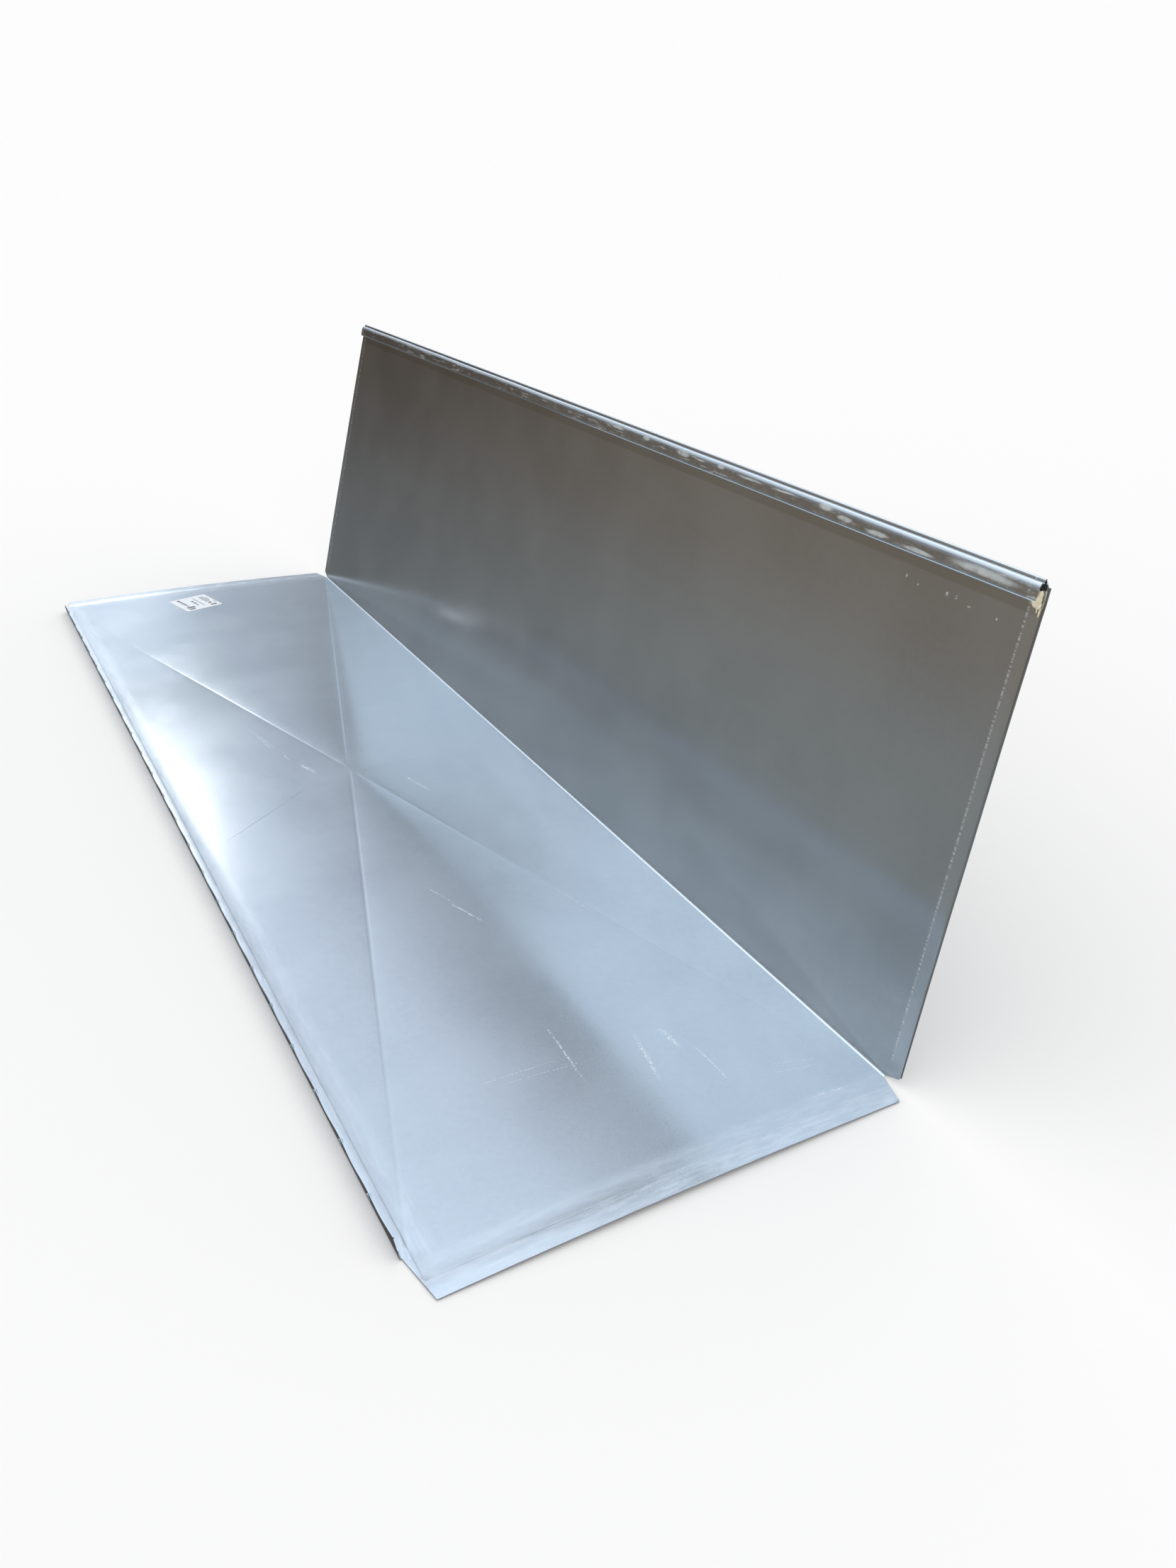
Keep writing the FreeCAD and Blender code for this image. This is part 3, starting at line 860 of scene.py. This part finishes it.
def paper_material(name, dark, light):
    """Coated paper or the ink on it, with a faint mottle."""
    material, nodes, shader = new_material(name)
    link = nodes.tree.links.new
    place = nodes.node("ShaderNodeTexCoord").outputs["Object"]
    fibre = nodes.noise(place, 700.0, 4.0)
    link(nodes.mix(nodes.ramp(fibre, 0.3, 0.7), dark, light), shader.inputs["Base Color"])
    link(nodes.ramp(fibre, 0.3, 0.7, 0.38, 0.5), shader.inputs["Roughness"])
    return material


# ---------------------------------------------------------------- pieces

blank = Blank()
add_floor(blank)
add_wall(blank)
add_flange(blank)
sheet = finished(thickened(blank.mesh("duct_sheet_folded"), GAUGE), "folded_duct_sheet", galvanised())
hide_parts("duct_sheet")


def floor_top(x, y):
    """Height of the floor's upper face."""
    return floor_point(x, y)[2] + GAUGE / 2


def add_label():
    """The sticker on the far facet: paper with rounded corners, and dark bars in place of print."""
    points = []
    faces = []
    inked = []
    half = LABEL_SIDE / 2
    straight = half - LABEL_CORNER
    lines = spread(-half, half, LABEL_SIDE / LABEL_CELLS)
    number = {}
    for i, u in enumerate(lines):
        for j, v in enumerate(lines):
            past = Vector((max(abs(u) - half + LABEL_CORNER, 0), max(abs(v) - half + LABEL_CORNER, 0)))
            pull = min(1.0, LABEL_CORNER / past.length) if past.length > LABEL_CORNER else 1.0
            pu = math.copysign(min(abs(u), straight) + past.x * pull, u)
            pv = math.copysign(min(abs(v), straight) + past.y * pull, v)
            x = LABEL_CENTRE.x + pu * math.cos(LABEL_TURN) - pv * math.sin(LABEL_TURN)
            y = LABEL_CENTRE.y + pu * math.sin(LABEL_TURN) + pv * math.cos(LABEL_TURN)
            number[i, j] = len(points)
            points.append(to_row(x, y, floor_top(x, y) + 0.11))
    for i in range(LABEL_CELLS):
        for j in range(LABEL_CELLS):
            faces.append((number[i, j], number[i + 1, j], number[i + 1, j + 1], number[i, j + 1]))
            inked.append(any(a <= i < b and c <= j < d for a, b, c, d in LABEL_BARS))
    mesh = bpy.data.meshes.new("label_sheet")
    mesh.from_pydata(points, [], faces)
    for polygon, ink in zip(mesh.polygons, inked):
        polygon.material_index = int(ink)
    mesh = thickened(mesh, 0.12)
    paper = paper_material("label_paper", (0.85, 0.88, 0.94), (0.90, 0.93, 0.98))
    obj = finished(mesh, "size_sticker", paper)
    mesh.materials.append(paper_material("label_ink", (0.10, 0.10, 0.11), (0.16, 0.16, 0.17)))
    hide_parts("size_label")


def add_sealant():
    """The uneven bead in the pocket, its lump at the near end and the drips beside it."""
    mesh = bpy.data.meshes.new("sealant_bead")
    work = bmesh.new()
    rings = []
    stations = [-LOCK_HALF + 1.2] + spread(-LOCK_HALF + 3, LOCK_HALF - 3, 5) + [LOCK_HALF - 1.2]
    n_mid = 1.25
    n_half = 1.3
    for number, x in enumerate(stations):
        end = 0.55 if number in (0, len(stations) - 1) else 1.0
        top = 355.0 + 1.1 * wave(x, 0, 45, 11) + 0.6 * wave(x, 0, 14, 12)
        ring = []
        for step in range(12):
            angle = math.tau * step / 12
            n = n_mid + n_half * end * math.cos(angle)
            rise = math.sin(angle)
            v = POCKET_FLOOR + rise * (top - POCKET_FLOOR if rise > 0 else 1.25 * end)
            ring.append(work.verts.new(to_row(*wall_point(x, n, v))))
        rings.append(ring)
    for lower, upper in zip(rings, rings[1:]):
        for k in range(12):
            work.faces.new((lower[k], lower[(k + 1) % 12], upper[(k + 1) % 12], upper[k]))
    work.faces.new(rings[0])
    work.faces.new(rings[-1])
    for (offset, n, v), radii in SEALANT_LUMPS:
        x = -LOCK_HALF + offset
        blob = bmesh.ops.create_icosphere(work, subdivisions=3, radius=1.0)["verts"]
        for vertex in blob:
            swell = 1 + 0.22 * noise.noise(vertex.co * 1.7 + Vector((x, v, 0)))
            dx, dn, dv = (part * size * swell for part, size in zip(vertex.co, radii))
            vertex.co = to_row(*wall_point(x + dx, n + dn, v + dv))
    bmesh.ops.recalc_face_normals(work, faces=work.faces)
    work.to_mesh(mesh)
    work.free()
    obj = finished(mesh, "pocket_sealant", sealant_material(), 60)
    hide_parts("seam_sealant")


add_label()
add_sealant()

# ---------------------------------------------------------------- stage, light and camera


def add_stage():
    """A plain pale floor that runs to the horizon."""
    mesh = bpy.data.meshes.new("stage_floor")
    corners = [(-1, -1), (1, -1), (1, 1), (-1, 1)]
    points = [(x * STAGE_REACH, y * STAGE_REACH, -STAGE_DROP) for x, y in corners]
    mesh.from_pydata(points, [], [(0, 1, 2, 3)])
    material, _, shader = new_material("stage")
    shader.inputs["Base Color"].default_value = (FLOOR_TONE, FLOOR_TONE, FLOOR_TONE, 1)
    shader.inputs["Roughness"].default_value = 1.0
    shader.inputs["Specular IOR Level"].default_value = 0.0
    mesh.materials.append(material)
    obj = bpy.data.objects.new("stage_floor", mesh)
    bpy.context.scene.collection.objects.link(obj)
    obj.visible_glossy = False


def compass(azimuth, elevation):
    """The direction at an azimuth from +X towards +Y and an elevation, in degrees."""
    a, e = math.radians(azimuth), math.radians(elevation)
    return Vector((math.cos(a) * math.cos(e), math.sin(a) * math.cos(e), math.sin(e)))


def add_world():
    """Soft even light, and what the metal mirrors: a cool sky over dim ground, a building and a lamp."""
    world = bpy.data.worlds.new("studio")
    world.use_nodes = True
    bpy.context.scene.world = world
    world.node_tree.nodes.clear()
    nodes = Nodes(world.node_tree)
    way = nodes.node("ShaderNodeTexCoord").outputs["Generated"]
    height = nodes.node("ShaderNodeSeparateXYZ", {0: way}).outputs[2]

    def facing(direction):
        """One looking along a direction, down to minus one looking away from it."""
        return nodes.vector("DOT_PRODUCT", way, direction, output="Value")

    def patched(room, patches):
        """The room with soft round patches of colour over it."""
        for azimuth, elevation, inner, outer, colour in patches:
            aim = facing(compass(azimuth, elevation))
            inside = nodes.ramp(aim, math.cos(math.radians(outer)), math.cos(math.radians(inner)))
            room = nodes.mix(inside, room, colour)
        return room

    swing = nodes.ramp(facing(compass(52, 0)), 0.86, 1.0)
    horizon = nodes.mix(swing, (0.088, 0.071, 0.057), (0.22, 0.19, 0.158))
    ground = nodes.mix(swing, (0.166, 0.18, 0.186), (0.25, 0.27, 0.27))
    to_wall = nodes.ramp(facing(Vector((0, -1, 0))), 0.0, 0.5)
    below = nodes.mix(to_wall, (0.09, 0.085, 0.085), (0.26, 0.27, 0.28))
    ground = nodes.mix(nodes.ramp(height, -0.3, -0.55), ground, below)
    sky = nodes.mix(nodes.ramp(height, 0.06, 0.27), horizon, (0.35, 0.41, 0.46))
    sky = nodes.mix(nodes.ramp(height, 0.24, 0.68), sky, (1.04, 1.26, 1.50))
    sky = patched(sky, SKY_PATCHES)
    room = nodes.mix(nodes.ramp(height, -0.17, 0.01), ground, sky)
    room = patched(room, LOW_PATCHES)

    def beyond(first, second, near, far):
        """One on the far side of the plane through two directions, fading between two distances."""
        plane = first.cross(second).normalized() * -1
        return nodes.ramp(facing(plane), -near, -far)

    low_edge = (compass(-12, 20), compass(-14.2, 30))
    high_edge = (compass(-15.5, 32), compass(-31, 45))
    shade = nodes.times(beyond(*low_edge, -0.02, 0.02), beyond(*high_edge, -0.03, 0.03))
    shade = nodes.times(shade, nodes.ramp(height, 0.08, 0.2))
    depth = nodes.times(beyond(*low_edge, 0.02, 0.12), beyond(*high_edge, 0.0, 0.11))
    building = nodes.mix(depth, (0.53, 0.61, 0.72), (0.38, 0.44, 0.505))
    room = nodes.mix(shade, room, building)
    room = patched(room, LAMP_PATCHES)
    rays = nodes.node("ShaderNodeLightPath")
    even = nodes.mix(rays.outputs["Is Camera Ray"], (EVEN_LIGHT,) * 3, (FLOOR_TONE * EVEN_LIGHT,) * 3)
    seen = nodes.mix(rays.outputs["Is Glossy Ray"], even, room)
    background = nodes.node("ShaderNodeBackground", {"Color": seen, "Strength": 1.0})
    output = nodes.node("ShaderNodeOutputWorld")
    world.node_tree.links.new(background.outputs[0], output.inputs[0])


def add_camera():
    """The camera: past the near end on the flange's side, looking down at the floor panel and the wall."""
    camera = bpy.data.cameras.new("camera")
    camera.sensor_fit = "VERTICAL"
    camera.sensor_height = 36.0
    camera.sensor_width = 36.0
    camera.lens = CAMERA_LENS
    camera.shift_x, camera.shift_y = CAMERA_SHIFT
    camera.clip_start = 0.05
    camera.clip_end = 60
    obj = bpy.data.objects.new("camera", camera)
    bpy.context.scene.collection.objects.link(obj)
    obj.location = CAMERA_PLACE
    obj.rotation_euler = Euler([math.radians(angle) for angle in CAMERA_TURN])
    bpy.context.scene.camera = obj


add_stage()
add_world()
add_camera()
bpy.context.scene.view_settings.view_transform = "Standard"
